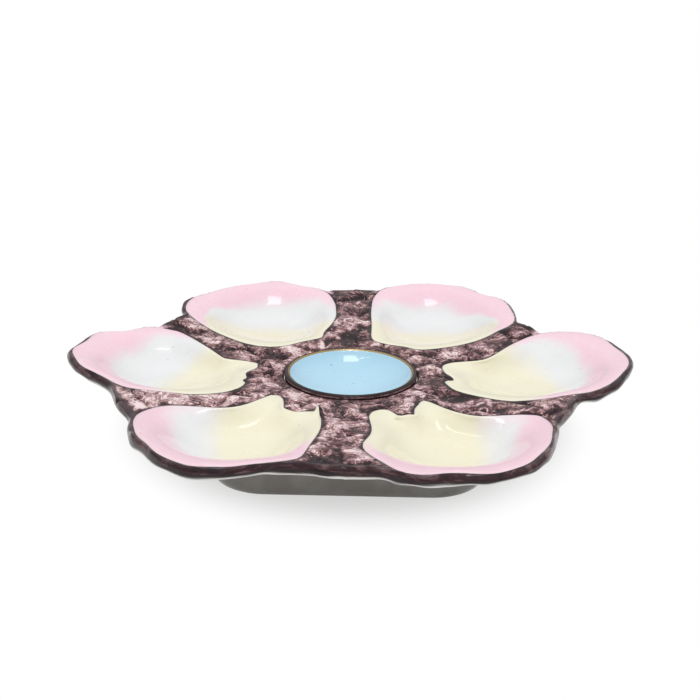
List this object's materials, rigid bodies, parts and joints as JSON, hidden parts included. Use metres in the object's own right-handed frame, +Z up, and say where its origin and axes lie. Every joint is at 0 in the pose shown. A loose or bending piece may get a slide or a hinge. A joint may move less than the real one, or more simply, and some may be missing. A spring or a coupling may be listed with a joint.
{
  "type": "oyster plate",
  "caption": "Glazed porcelain oyster plate: shell-shaped wells round a raised sauce well on a rock-like ground, with a hollow foot ring.",
  "frame": {"origin": "on the table under the middle of the plate", "axes": "+Z up out of the wells, +X through the middle of the first oyster well, -Y towards the side that faces the camera in the picture"},
  "size_m": [0.2462, 0.2259, 0.0291],
  "materials": {
    "rock_glaze": "glossy",
    "foot_glaze": "glossy",
    "sauce_glaze": "glossy",
    "well_glaze": "glossy",
    "gilding": "polished"
  },
  "bodies": {
    "root": {"rock_ground": "rock_glaze", "foot_ring": "foot_glaze", "sauce_well": "sauce_glaze", "gilt_band": "gilding", "well_right": "well_glaze", "well_back_right": "well_glaze", "well_back_left": "well_glaze", "well_left": "well_glaze", "well_front_left": "well_glaze", "well_front_right": "well_glaze"}
  },
  "joints": []
}
